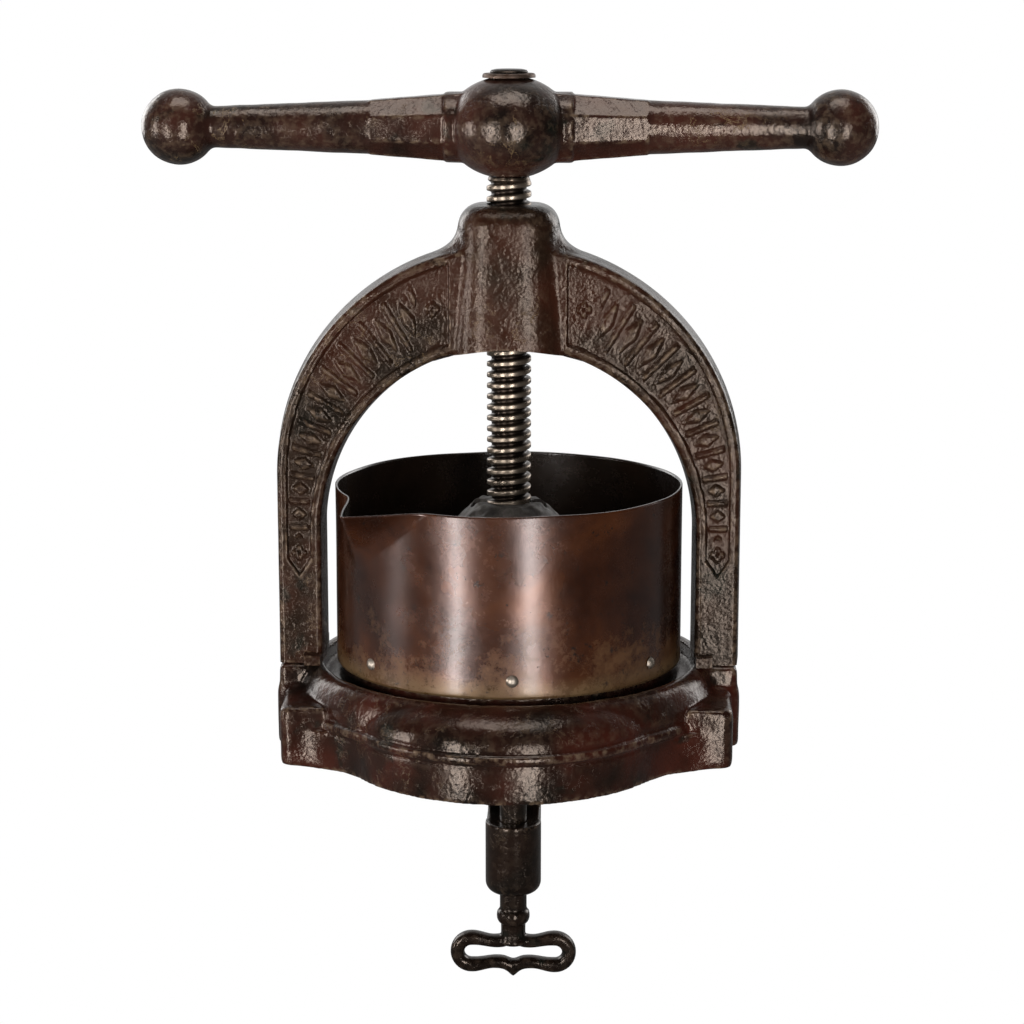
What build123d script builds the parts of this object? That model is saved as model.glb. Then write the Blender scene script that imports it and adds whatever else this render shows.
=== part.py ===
"""Bench-clamped screw press for juice: a cast arch and base, a sheet drum with a pouring lip,
a plate on a screw with a T-handle, and a thumbscrew clamp for the table's edge.

Origin: the screw's axis at the base's underside. +Z is up, -Y is the side with the pouring lip,
and X runs along the handle. All sizes are in millimetres.
"""
import os
from math import asin, cos, radians, sin, sqrt, tan

from build123d import *

os.makedirs("parts", exist_ok=True)

# ---- fits and clearances ----
running_gap = 0.06         # radial, for a shaft or a thread that turns in its hole
assembly_gap = 0.05        # radial, between pieces that are fixed together
moving_gap = 1.0           # plate edge to strainer wall

# ---- drum and its seat ----
drum_radius = 57.8         # outside
drum_height = 59.0
sheet = 0.7                # drum and strainer sheet
seat_height = 27.9         # platform top, above the base's underside
seat_overhang = 1.8        # drum wall outside the platform's edge
catch_gap = 4.7            # drum wall to the rim's ridge
groove_depth = 5.5
bottom_flange = 10.0       # upturned edge of the drum's bottom

# ---- pouring lip ----
lip_direction = 230.0      # degrees from +X, seen from above
lip_reach = 15.5           # tip beyond the drum wall at the rim
lip_drop = 22.0            # crease length below the rim
lip_half_width = 17.0
lip_narrowing = 0.8        # share of the width lost at the crease's lower end
lip_root = 0.93            # where the lip's sides start, as a share of the drum radius

# ---- rivets round the drum ----
drum_rivet_count = 7
drum_rivet_start = 272.5   # degrees
drum_rivet_rise = 6.0      # above the drum's lower edge
rivet_shank = 1.0
rivet_head = 2.0
rivet_head_height = 1.1
rivet_tail = 1.5           # radius of the closed end inside the drum

# ---- base casting ----
ridge_height = 27.5
ridge_width = 1.0          # flat on top of the rim
skirt_height = 12.5
bead_height = 3.3
bead_swell = 0.7
side_moulding = 8.5        # moulding width at the sides
front_moulding = 16.5      # moulding width at the bow
bow_share = 0.4325         # bow centre forward of the screw, as a share of the drum radius
bow_blend = 28.0
block_height = 20.0
block_share = 0.7093       # block front forward of the screw, as a share of the drum radius
block_width = 15.0
block_corner = 3.0
block_inset = 3.5          # block side, inside the leg's outer face
lug_depth = 16.0           # half-depth of the lugs under the legs
seat_inset = 0.8           # leg seat, inside the lug's faces
back_margin = 10.5         # back edge, outside the ridge
floor_thickness = 6.0
pocket_radius = 57.0
edge_round = 1.2
rib_share = 0.6            # rounding of a small head, as a share of its height
dome_share = 0.8           # rounding of a domed head, as a share of its height

# ---- arch ----
leg_gap = 3.1              # drum wall to the leg's inner face
leg_width = 16.1
foot_height = 27.5
spring_drop = 14.9         # start of the inner curve, below the drum's rim
spring_step = 18.4         # start of the outer curve, above the inner one's
arch_half_depth = 13.0
arch_draft = 5.0           # degrees
boss_rise = 11.6           # boss top, above the arch's outer curve
boss_radius = 16.5
boss_foot_radius = 18.8
boss_shoulder = 6.0
boss_blend = 7.0
web_half_depth = 7.0       # web that blends the boss into the arch
panel_border = 2.9
panel_depth = 1.2
panel_end = 19.0           # panel's upper end, from the screw's axis
panel_tip_height = 57.0
panel_tip_length = 7.0
toe_height = 3.5
toe_width = 5.5
toe_depth = 3.5

# ---- press screw and handle ----
screw_radius = 7.3
hub_rise = 24.6            # hub centre, above the boss at rest
hub_half_height = 16.5
hub_radius = 20.6
hub_flat = 15.9            # half-height between the hub's seats
tenon = 9.6                # square through the hub
washer_radius = 8.6
washer_thickness = 1.4
peen_radius = 6.2
peen_height = 1.4
arm_root_flats = 22.8
arm_octagon_flats = 17.4
octagon_end = 45.0
octagon_turn = 22.5        # degrees, a flat to the front
arm_neck_radius = 6.6
ball_radius = 12.3
ball_centre = 107.0
ball_blend = 3.0
root_collar_radius = 11.4
root_collar_end = 20.6

# ---- follower ----
hub_top = 80.5
hub_top_radius = 11.5
hub_cone_end = 21.0
hub_cone_drop = 10.0
hub_waist_radius = 24.0
hub_waist_height = 63.0
hub_waist_drop = 5.0       # cone's foot below the waist
disc_radius = 46.0
disc_height = 50.5
plate_thickness = 3.0
plate_height = 42.5        # underside of the pressing plate
button_height = 55.0       # bearing face under the screw's end
button_radius = 6.6
button_thickness = 3.0
neck_radius = 5.0
neck_bottom = 61.0
neck_top = 65.6
keeper_width = 15.6
keeper_side_gap = 0.15
keeper_reach = 21.0
keeper_pin_radius = 1.5
keeper_pin_place = 14.5
plate_rivet_circle = 36.0
plate_rivet_count = 4
plate_rivet_radius = 2.5
plate_rivet_head = 4.4
pocket_width = 4.6
pocket_length = 7.0
pocket_depth = 4.0
pocket_place = 9.9
rivet_start = 45.0         # degrees, first plate rivet and first strainer foot

# ---- strainer ----
strainer_gap = 6.1         # drum's inner face to the strainer wall
strainer_foot_height = 4.1
strainer_height = 26.5
strainer_hole = 1.1
strainer_rows = 4
strainer_columns = 36
strainer_rings = 5
ring_wire = 1.2
strainer_foot_radius = 3.0
strainer_foot_circle = 44.0
strainer_foot_count = 4
plain_rows = 1.5           # hole rows left out at the top of the wall

# ---- bench clamp ----
clamp_axis = 60.0          # thumbscrew's axis, behind the press screw
clamp_screw_radius = 5.0
throat_back = 3.0          # bracket face, behind the base's back edge
clamp_boss_top = -51.0
clamp_boss_bottom = -78.0
clamp_boss_radius = 10.2
clamp_boss_round = 4.0
bracket_width = 19.6
bracket_thickness = 10.0
jaw_thickness = 11.0
flange_width = 42.0
flange_height = 13.0
flange_thickness = 6.0
bracket_screw_radius = 2.5
bracket_screw_place = 14.8
bracket_screw_depth = 10.0
bracket_screw_head = 4.4
pad_top = -12.0
pad_radius = 11.0
pad_thickness = 5.0
pivot_radius = 3.0
pivot_head_radius = 4.6
pivot_head_depth = 1.6
collar_top = -85.0
collar_height = 4.8
collar_radius = 6.1
loop_centre = -101.7
loop_half_length = 23.2
loop_end_radius = 7.8
loop_waist = 6.3           # half-height between centre and ends
slot_half_length = 18.0
slot_end_radius = 2.6
loop_tip = -111.2
loop_thickness = 6.4
stem_radius = 4.5

# ---- foot screws ----
foot_screw_radius = 3.0
foot_screw_length = 15.0   # thread in the leg
foot_head_radius = 6.0
foot_head_height = 5.0
foot_head_recess = 1.5
slot_width = 1.5
slot_depth = 1.7

# ---- places worked out from the sizes above ----
drum_inner = drum_radius - sheet
rim_height = seat_height + drum_height
platform_radius = drum_radius - seat_overhang
ridge_radius = drum_radius + catch_gap
groove_height = ridge_height - groove_depth
leg_inner = drum_radius + leg_gap
leg_outer = leg_inner + leg_width
leg_middle = (leg_inner + leg_outer) / 2
inner_spring = rim_height - spring_drop
outer_spring = inner_spring + spring_step
boss_top = outer_spring + leg_outer + boss_rise
hub_centre = boss_top + hub_rise
bow_offset = bow_share * drum_radius
block_front = block_share * drum_radius
block_side = leg_outer - block_inset
block_inner = block_side - block_width
bow_radius = ridge_radius + front_moulding - bow_offset
back_radius = ridge_radius + back_margin
bracket_face = back_radius + throat_back
crown = inner_spring + leg_inner
bottom_top = seat_height + sheet
strainer_radius = drum_inner - strainer_gap
strainer_inner = strainer_radius - sheet
strainer_floor_bottom = bottom_top + strainer_foot_height
strainer_floor_top = strainer_floor_bottom + sheet
plate_radius = strainer_inner - moving_gap
plate_top = plate_height + plate_thickness
hub_bottom = hub_centre - hub_flat
hub_seat = hub_centre + hub_flat


def write(piece, name):
    """Label a finished piece and write its STEP file."""
    piece.part.label = name
    export_step(piece.part, f"parts/{name}.step")


# ---- base casting ----
def moulding_profile(outer, inner, swell):
    """Half-section of a moulded rim: a bead on the skirt, then an ovolo up to the ridge."""
    bead_top = skirt_height + bead_height
    with BuildSketch() as profile:
        with BuildLine():
            Polyline((0, ridge_height), (0, skirt_height), (outer, skirt_height))
            ThreePointArc((outer, skirt_height), (outer + swell, skirt_height + bead_height / 2),
                          (outer, bead_top))
            Line((outer, bead_top), (outer - swell, bead_top))
            EllipticalCenterArc((inner, bead_top), outer - swell - inner, ridge_height - bead_top,
                                start_angle=0, arc_size=90)
            Line((inner, ridge_height), (0, ridge_height))
        make_face()
    return profile.sketch


with BuildPart() as base_casting:
    with BuildSketch() as base_outline:
        Rectangle(2 * block_side, 2 * block_front)
        fillet(base_outline.vertices(), block_corner)
        with Locations((0, -bow_offset)):
            Circle(bow_radius)
        fillet(base_outline.vertices().filter_by(
            lambda v: v.Y < 0 and abs(v.X) < block_side - 2 * block_corner), bow_blend)
        with BuildLine():
            CenterArc((0, 0), back_radius, 0, 180)
            Line((-back_radius, 0), (back_radius, 0))
        make_face()
        RectangleRounded(2 * leg_outer, 2 * lug_depth, block_corner)
    extrude(amount=skirt_height)
    with BuildSketch(Plane.XY.offset(skirt_height)):
        add(base_outline.sketch)
        Rectangle(2 * block_inner, 4 * block_front, mode=Mode.SUBTRACT)
        Rectangle(4 * block_side, 2 * block_front, mode=Mode.INTERSECT)
    extrude(amount=block_height - skirt_height)
    fillet(base_casting.edges().filter_by(Plane.XY).group_by(Axis.Z)[-1], edge_round)
    with BuildSketch(Plane.XZ):
        add(moulding_profile(ridge_radius + side_moulding, ridge_radius + ridge_width, bead_swell))
    revolve(axis=Axis.Z)
    with BuildSketch(Plane.XZ.offset(bow_offset)):
        add(moulding_profile(bow_radius, bow_radius - front_moulding, bead_swell))
    revolve(axis=Axis((0, -bow_offset, 0), (0, 0, 1)))
    with BuildSketch(Plane.XY.offset(skirt_height)):
        with Locations((leg_middle - seat_inset, 0), (seat_inset - leg_middle, 0)):
            Rectangle(leg_width, 2 * (lug_depth - seat_inset))
    extrude(amount=foot_height - skirt_height)
    with BuildSketch(Plane.XY.offset(groove_height)):
        Circle(ridge_radius)
    extrude(amount=seat_height, mode=Mode.SUBTRACT)
    with BuildSketch(Plane.XY.offset(groove_height)):
        Circle(platform_radius)
    extrude(amount=seat_height - groove_height)
    with BuildSketch():
        Circle(pocket_radius)
    extrude(amount=groove_height - floor_thickness, mode=Mode.SUBTRACT)
    with BuildSketch():
        with Locations((0, bracket_face - back_margin / 2)):
            Rectangle(flange_width, back_margin)
    extrude(amount=flange_height)
    with BuildSketch():
        with Locations((leg_middle, 0), (-leg_middle, 0)):
            Circle(foot_head_radius + moving_gap / 2)
    extrude(amount=foot_head_recess + foot_head_height, mode=Mode.SUBTRACT)
    with BuildSketch(Plane.XY.offset(foot_head_recess + foot_head_height)):
        with Locations((leg_middle, 0), (-leg_middle, 0)):
            Circle(foot_screw_radius + running_gap)
    extrude(amount=foot_height, mode=Mode.SUBTRACT)
    with Locations(Plane(origin=(0, bracket_face, flange_height / 2), x_dir=(1, 0, 0),
                         z_dir=(0, 1, 0))):
        with Locations((bracket_screw_place, 0), (-bracket_screw_place, 0)):
            Hole(bracket_screw_radius + assembly_gap, depth=bracket_screw_depth + edge_round)
write(base_casting, "base_casting")

# ---- arch casting ----
draft_inset = arch_half_depth * tan(radians(arch_draft))


def arch_height(radius, spring, x):
    """Height of an arch curve at a distance from the screw's axis."""
    return spring + sqrt(radius**2 - x**2)


with BuildPart() as arch_frame:
    foot_cut = foot_height - 2 * draft_inset
    with BuildSketch(Plane.XZ) as arch_face:
        with BuildLine():
            Line((leg_outer, foot_cut), (leg_outer, outer_spring))
            CenterArc((0, outer_spring), leg_outer, 0, 180)
            Polyline((-leg_outer, outer_spring), (-leg_outer, foot_cut), (-leg_inner, foot_cut),
                     (-leg_inner, inner_spring))
            CenterArc((0, inner_spring), leg_inner, 0, 180)
            Polyline((leg_inner, inner_spring), (leg_inner, foot_cut), (leg_outer, foot_cut))
        make_face()
    extrude(amount=arch_half_depth, both=True, taper=arch_draft)
    with BuildSketch(Plane.XZ) as web:
        web_top = boss_top - boss_shoulder
        with Locations((0, outer_spring)):
            Circle(leg_outer - edge_round)
            Rectangle(2 * boss_radius, web_top - outer_spring, align=(Align.CENTER, Align.MIN))
        web_corners = web.vertices().filter_by(lambda v: abs(abs(v.X) - boss_radius) < edge_round)
        fillet(web_corners.filter_by(lambda v: v.Y < web_top - edge_round), boss_blend)
        with Locations((0, web_top)):
            Rectangle(4 * boss_radius, web_top - crown - boss_shoulder, align=(Align.CENTER, Align.MAX),
                      mode=Mode.INTERSECT)
    extrude(amount=web_half_depth, both=True)
    with BuildSketch(Plane.XY.offset(foot_cut)):
        Rectangle(4 * leg_outer, 4 * arch_half_depth)
    extrude(amount=foot_height - foot_cut, mode=Mode.SUBTRACT)
    with BuildSketch(Plane.XZ) as boss_section:
        with BuildLine():
            boss_foot = crown - boss_shoulder
            Polyline((0, boss_top), (0, boss_foot), (boss_foot_radius, boss_foot),
                     (boss_radius, boss_top - 2 * boss_shoulder), (boss_radius, boss_top), (0, boss_top))
        make_face()
        fillet(boss_section.vertices().group_by(Axis.Y)[-1].sort_by(Axis.X)[-1:], boss_shoulder)
    revolve(axis=Axis.Z)
    with BuildSketch(Plane.XZ):
        with Locations((0, inner_spring)):
            Circle(leg_inner)
    extrude(amount=2 * boss_foot_radius, both=True, mode=Mode.SUBTRACT)
    with BuildSketch(Plane.XZ.offset(arch_half_depth)) as panels:
        panel_outer = leg_outer - draft_inset - panel_border
        panel_inner = leg_inner + draft_inset + panel_border
        panel_middle = (panel_outer + panel_inner) / 2
        panel_shoulder = panel_tip_height + panel_tip_length
        outer_diagonal = panel_outer * cos(radians(45))
        inner_diagonal = panel_inner * cos(radians(45))
        with BuildLine():
            ThreePointArc((panel_outer, outer_spring),
                          (outer_diagonal, outer_spring + outer_diagonal),
                          (panel_end, arch_height(panel_outer, outer_spring, panel_end)))
            Line((panel_end, arch_height(panel_outer, outer_spring, panel_end)),
                 (panel_end, arch_height(panel_inner, inner_spring, panel_end)))
            ThreePointArc((panel_end, arch_height(panel_inner, inner_spring, panel_end)),
                          (inner_diagonal, inner_spring + inner_diagonal),
                          (panel_inner, inner_spring))
            Polyline((panel_inner, inner_spring), (panel_inner, panel_shoulder),
                     (panel_middle, panel_tip_height), (panel_outer, panel_shoulder),
                     (panel_outer, outer_spring))
        make_face()
        mirror(about=Plane.YZ)
    extrude(amount=-panel_depth, mode=Mode.SUBTRACT)
    with BuildSketch(Plane.XY.offset(foot_height)):
        toe_place = leg_inner + 2 * draft_inset + toe_width / 2
        toe_reach = arch_half_depth + toe_depth
        with Locations((toe_place, 0), (-toe_place, 0)):
            Rectangle(toe_width, 2 * toe_reach)
    extrude(amount=toe_height)
    with BuildSketch(Plane.XY.offset(crown - 2 * boss_shoulder)):
        Circle(screw_radius + running_gap)
    extrude(amount=boss_top, mode=Mode.SUBTRACT)
    with Locations(Plane(origin=(leg_middle, 0, foot_height), z_dir=(0, 0, -1)),
                   Plane(origin=(-leg_middle, 0, foot_height), z_dir=(0, 0, -1))):
        Hole(foot_screw_radius + assembly_gap, depth=foot_screw_length + edge_round)
write(arch_frame, "arch_frame")

with BuildPart() as arch_foot_screws:
    with BuildSketch(Plane.XY.offset(foot_head_recess)):
        with Locations((leg_middle, 0), (-leg_middle, 0)):
            Circle(foot_head_radius)
    extrude(amount=foot_head_height)
    with BuildSketch(Plane.XY.offset(foot_head_recess)):
        with Locations((leg_middle, 0), (-leg_middle, 0)):
            Circle(foot_screw_radius)
    extrude(amount=foot_height + foot_screw_length - foot_head_recess)
    with BuildSketch(Plane.XY.offset(foot_head_recess)):
        with Locations((leg_middle, 0), (-leg_middle, 0)):
            Rectangle(2 * foot_head_radius + edge_round, slot_width)
    extrude(amount=slot_depth, mode=Mode.SUBTRACT)
write(arch_foot_screws, "arch_foot_screws")

# ---- bench clamp ----
with BuildPart() as clamp_bracket:
    jaw_bottom = clamp_boss_top - jaw_thickness
    with BuildSketch(Plane.YZ) as bracket_side:
        with BuildLine():
            Polyline((bracket_face, flange_height), (bracket_face, clamp_boss_top),
                     (clamp_axis, clamp_boss_top), (clamp_axis, jaw_bottom),
                     (bracket_face + bracket_thickness, jaw_bottom),
                     (bracket_face + bracket_thickness, flange_height), (bracket_face, flange_height))
        make_face()
        fillet(bracket_side.vertices().sort_by_distance(
            (bracket_face + bracket_thickness, jaw_bottom))[0], bracket_thickness)
        fillet(bracket_side.vertices().sort_by_distance(
            (bracket_face, clamp_boss_top))[0], bracket_thickness / 3)
    extrude(amount=bracket_width / 2, both=True)
    with BuildSketch(Plane.XZ.offset(-bracket_face)):
        with Locations((0, flange_height / 2)):
            RectangleRounded(flange_width, flange_height, block_corner)
    extrude(amount=-flange_thickness)
    with BuildSketch(Plane.XY.offset(clamp_boss_bottom)):
        with Locations((0, clamp_axis)):
            Circle(clamp_boss_radius)
    extrude(amount=clamp_boss_top - clamp_boss_bottom)
    fillet(clamp_bracket.edges().group_by(Axis.Z)[0], clamp_boss_round)
    with BuildSketch(Plane.XY.offset(clamp_boss_bottom)):
        with Locations((0, clamp_axis)):
            Circle(clamp_screw_radius + running_gap)
    extrude(amount=clamp_boss_top - clamp_boss_bottom, mode=Mode.SUBTRACT)
    with Locations(Plane(origin=(0, bracket_face + flange_thickness, flange_height / 2),
                         x_dir=(1, 0, 0), z_dir=(0, 1, 0))):
        with Locations((bracket_screw_place, 0), (-bracket_screw_place, 0)):
            Hole(bracket_screw_radius + assembly_gap, depth=flange_thickness)
write(clamp_bracket, "clamp_bracket")

with BuildPart() as clamp_bracket_screws:
    head_plane = Plane(origin=(0, bracket_face + flange_thickness, flange_height / 2),
                       x_dir=(1, 0, 0), z_dir=(0, 1, 0))
    with BuildSketch(head_plane):
        with Locations((bracket_screw_place, 0), (-bracket_screw_place, 0)):
            Circle(bracket_screw_head)
    extrude(amount=bracket_screw_radius)
    fillet(clamp_bracket_screws.edges().group_by(Axis.Y)[-1], bracket_screw_radius * rib_share)
    with BuildSketch(head_plane):
        with Locations((bracket_screw_place, 0), (-bracket_screw_place, 0)):
            Circle(bracket_screw_radius)
    extrude(amount=-(flange_thickness + bracket_screw_depth))
write(clamp_bracket_screws, "clamp_bracket_screws")

pad_bottom = pad_top - pad_thickness
pivot_head_bottom = pad_top - pivot_head_depth
with BuildPart() as clamp_pad:
    with BuildSketch(Plane.XY.offset(pad_bottom)):
        with Locations((0, clamp_axis)):
            Circle(pad_radius)
    extrude(amount=pad_thickness)
    fillet(clamp_pad.edges().group_by(Axis.Z)[0], edge_round)
    with Locations(Plane(origin=(0, clamp_axis, pad_top))):
        CounterBoreHole(pivot_radius + running_gap, pivot_head_radius + 3 * running_gap,
                        pivot_head_depth)
write(clamp_pad, "clamp_pad")

collar_bottom = collar_top - collar_height
with BuildPart() as clamp_screw:
    loop_end = loop_half_length - loop_end_radius
    with BuildSketch(Plane.XZ.offset(-clamp_axis)) as loop_outline:
        with Locations((0, loop_centre)):
            Rectangle(2 * loop_end, 2 * loop_waist)
        with Locations((loop_end, loop_centre), (-loop_end, loop_centre)):
            Circle(loop_end_radius)
        with BuildLine():
            Polyline((-loop_end_radius, loop_centre), (0, loop_tip), (loop_end_radius, loop_centre),
                     (stem_radius, collar_bottom), (-stem_radius, collar_bottom),
                     (-loop_end_radius, loop_centre))
        make_face()
    extrude(amount=loop_thickness / 2, both=True)
    fillet(clamp_screw.edges().group_by(Axis.Y)[0], loop_thickness / 4)
    fillet(clamp_screw.edges().group_by(Axis.Y)[-1], loop_thickness / 4)
    with BuildSketch(Plane.XZ.offset(-clamp_axis)):
        with Locations((0, loop_centre)):
            SlotOverall(2 * slot_half_length, 2 * slot_end_radius)
    extrude(amount=loop_thickness, both=True, mode=Mode.SUBTRACT)
    with BuildSketch(Plane.YZ):
        with BuildLine():
            stem_bottom = loop_centre + loop_waist / 2
            head_top = pad_top - 4 * running_gap
            Polyline((clamp_axis, stem_bottom), (clamp_axis + loop_thickness / 2, stem_bottom),
                     (clamp_axis + stem_radius, collar_bottom))
            ThreePointArc((clamp_axis + stem_radius, collar_bottom),
                          (clamp_axis + collar_radius, (collar_top + collar_bottom) / 2),
                          (clamp_axis + clamp_screw_radius, collar_top))
            Polyline((clamp_axis + clamp_screw_radius, collar_top),
                     (clamp_axis + clamp_screw_radius, pad_bottom),
                     (clamp_axis + pivot_radius, pad_bottom),
                     (clamp_axis + pivot_radius, pivot_head_bottom),
                     (clamp_axis + pivot_head_radius, pivot_head_bottom),
                     (clamp_axis + pivot_head_radius, head_top), (clamp_axis, head_top),
                     (clamp_axis, stem_bottom))
        make_face()
    revolve(axis=Axis((0, clamp_axis, 0), (0, 0, 1)))
write(clamp_screw, "clamp_screw")

# ---- press screw and T-handle ----
with BuildPart() as press_screw:
    with BuildSketch(Plane.XZ):
        with BuildLine():
            Polyline((0, button_height), (screw_radius - edge_round, button_height),
                     (screw_radius, button_height + edge_round), (screw_radius, neck_bottom),
                     (neck_radius, neck_bottom), (neck_radius, neck_top), (screw_radius, neck_top),
                     (screw_radius, hub_bottom), (0, hub_bottom), (0, button_height))
        make_face()
    revolve(axis=Axis.Z)
    with BuildSketch(Plane.XY.offset(hub_bottom)):
        Rectangle(tenon, tenon)
    extrude(amount=hub_seat + washer_thickness - hub_bottom)
    with BuildSketch(Plane.XY.offset(hub_seat + washer_thickness)):
        Circle(peen_radius)
    extrude(amount=peen_height)
    fillet(press_screw.edges().group_by(Axis.Z)[-1], peen_height * dome_share)
write(press_screw, "press_screw")

handle_plane = Plane(origin=(0, 0, hub_centre), x_dir=(1, 0, 0), z_dir=(0, -1, 0))
with BuildPart() as t_handle:
    with BuildSketch(handle_plane):
        Ellipse(hub_radius, hub_half_height)
        Rectangle(2 * hub_radius, 2 * hub_flat, mode=Mode.INTERSECT)
        Rectangle(hub_radius, 2 * hub_flat, align=(Align.MAX, Align.CENTER), mode=Mode.SUBTRACT)
    revolve(axis=Axis.Z)
    for side in (1, -1):
        with BuildSketch(Plane.YZ.offset(side * hub_radius / 2)) as octagon_root:
            with Locations((0, hub_centre)):
                RegularPolygon(arm_root_flats / 2, 8, major_radius=False, rotation=octagon_turn)
        with BuildSketch(Plane.YZ.offset(side * octagon_end)) as octagon_tip:
            with Locations((0, hub_centre)):
                RegularPolygon(arm_octagon_flats / 2, 8, major_radius=False, rotation=octagon_turn)
        loft()
    with BuildSketch(handle_plane) as round_arm:
        ball_start = ball_centre - ball_radius
        with BuildLine():
            Polyline((octagon_end, 0), (octagon_end, arm_octagon_flats / 2),
                     (ball_start + ball_radius / 4, arm_neck_radius), (ball_centre, arm_neck_radius),
                     (ball_centre, 0), (octagon_end, 0))
        make_face()
        with BuildLine():
            CenterArc((ball_centre, 0), ball_radius, 0, 180)
            Line((ball_centre - ball_radius, 0), (ball_centre + ball_radius, 0))
        make_face()
        fillet(round_arm.vertices().filter_by(
            lambda v: ball_start < v.X < ball_centre and v.Y > edge_round)
            .sort_by(Axis.X)[-1:], ball_blend)
        mirror(about=Plane.YZ)
    revolve(axis=Axis((0, 0, hub_centre), (1, 0, 0)))
    with BuildSketch(Plane.YZ.offset(-root_collar_end)):
        with Locations((0, hub_centre)):
            Circle(root_collar_radius)
    extrude(amount=2 * root_collar_end)
    with BuildSketch(Plane.XY.offset(hub_bottom)):
        Rectangle(tenon + 2 * assembly_gap, tenon + 2 * assembly_gap)
    extrude(amount=2 * hub_flat, mode=Mode.SUBTRACT)
write(t_handle, "t_handle")

with BuildPart() as handle_washer:
    with BuildSketch(Plane.XY.offset(hub_seat)):
        Circle(washer_radius)
        Rectangle(tenon + 2 * assembly_gap, tenon + 2 * assembly_gap, mode=Mode.SUBTRACT)
    extrude(amount=washer_thickness)
    fillet(handle_washer.edges().filter_by(GeomType.CIRCLE).group_by(Axis.Z)[-1],
           washer_thickness * rib_share)
write(handle_washer, "handle_washer")

# ---- follower ----
button_bottom = button_height - button_thickness
keeper_thickness = neck_top - neck_bottom - 2 * keeper_side_gap
keeper_bottom = neck_bottom + keeper_side_gap
disc_edge = disc_radius - edge_round
cone_foot = hub_waist_radius + edge_round
with BuildPart() as follower_casting:
    with BuildSketch(Plane.XZ):
        with BuildLine():
            Polyline((0, plate_top), (disc_radius, plate_top), (disc_radius, disc_height - edge_round),
                     (disc_edge, disc_height), (cone_foot, hub_waist_height - hub_waist_drop),
                     (hub_waist_radius, hub_waist_height), (hub_cone_end, hub_top - hub_cone_drop),
                     (hub_top_radius, hub_top), (0, hub_top), (0, plate_top))
        make_face()
    revolve(axis=Axis.Z)
    with BuildSketch(Plane.XY.offset(button_bottom)):
        Circle(screw_radius + running_gap)
    extrude(amount=hub_top - button_bottom, mode=Mode.SUBTRACT)
    with BuildSketch(Plane.XY.offset(keeper_bottom - assembly_gap)):
        Circle(keeper_width / 2 + assembly_gap)
        Rectangle(keeper_width + 2 * assembly_gap, disc_radius, align=(Align.CENTER, Align.MIN))
    extrude(amount=keeper_thickness + 2 * assembly_gap, mode=Mode.SUBTRACT)
    with BuildSketch(Plane.XY.offset(keeper_bottom - 2 * keeper_pin_radius)):
        with Locations((0, keeper_pin_place)):
            Circle(keeper_pin_radius + assembly_gap)
    extrude(amount=hub_top, mode=Mode.SUBTRACT)
    with BuildSketch(Plane.XY.offset(plate_top)):
        with PolarLocations(plate_rivet_circle, plate_rivet_count, start_angle=rivet_start):
            Circle(plate_rivet_radius + assembly_gap)
    extrude(amount=hub_top - plate_top, mode=Mode.SUBTRACT)
    with BuildSketch(Plane.XY.offset(hub_top - pocket_depth)):
        with Locations((pocket_place, 0), (-pocket_place, 0)):
            Rectangle(pocket_width, pocket_length)
    extrude(amount=pocket_depth, mode=Mode.SUBTRACT)
write(follower_casting, "follower_casting")

with BuildPart() as follower_plate:
    with BuildSketch(Plane.XY.offset(plate_height)):
        Circle(plate_radius)
        with PolarLocations(plate_rivet_circle, plate_rivet_count, start_angle=rivet_start):
            Circle(plate_rivet_radius + assembly_gap, mode=Mode.SUBTRACT)
    extrude(amount=plate_thickness)
write(follower_plate, "follower_plate")

disc_slope = (hub_waist_height - hub_waist_drop - disc_height) / (disc_edge - cone_foot)
rivet_seat = disc_height + disc_slope * (disc_edge - plate_rivet_circle + plate_rivet_head)
with BuildPart() as follower_rivets:
    with BuildSketch(Plane.XY.offset(plate_height)):
        with PolarLocations(plate_rivet_circle, plate_rivet_count, start_angle=rivet_start):
            Circle(plate_rivet_radius)
    extrude(amount=rivet_seat - plate_height)
    with BuildSketch(Plane.XY.offset(rivet_seat)):
        with PolarLocations(plate_rivet_circle, plate_rivet_count, start_angle=rivet_start):
            Circle(plate_rivet_head)
    extrude(amount=plate_rivet_radius)
    fillet(follower_rivets.edges().group_by(Axis.Z)[-1], plate_rivet_radius * dome_share)
write(follower_rivets, "follower_rivets")

with BuildPart() as follower_keeper:
    with BuildSketch(Plane.XY.offset(keeper_bottom)):
        Circle(keeper_width / 2)
        Rectangle(keeper_width, keeper_reach, align=(Align.CENTER, Align.MIN))
        Circle(neck_radius + running_gap, mode=Mode.SUBTRACT)
        Rectangle(2 * (neck_radius + running_gap), keeper_width, align=(Align.CENTER, Align.MAX),
                  mode=Mode.SUBTRACT)
        with Locations((0, keeper_pin_place)):
            Circle(keeper_pin_radius + assembly_gap, mode=Mode.SUBTRACT)
    extrude(amount=keeper_thickness)
write(follower_keeper, "follower_keeper")

with BuildPart() as keeper_pin:
    with BuildSketch(Plane.XY.offset(keeper_bottom - 2 * keeper_pin_radius)):
        with Locations((0, keeper_pin_place)):
            Circle(keeper_pin_radius)
    extrude(amount=hub_top - hub_cone_drop / 2 - keeper_bottom + keeper_pin_radius)
write(keeper_pin, "keeper_pin")

with BuildPart() as thrust_button:
    with BuildSketch(Plane.XY.offset(button_bottom)):
        Circle(button_radius)
    extrude(amount=button_thickness)
write(thrust_button, "thrust_button")


# ---- drum ----
rivet_height = seat_height + drum_rivet_rise
rivet_angles = [drum_rivet_start + number * 360 / drum_rivet_count for number in range(drum_rivet_count)]
rivet_seats = [Plane(origin=(0, 0, rivet_height), z_dir=(cos(radians(angle)), sin(radians(angle)), 0))
               for angle in rivet_angles]


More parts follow.
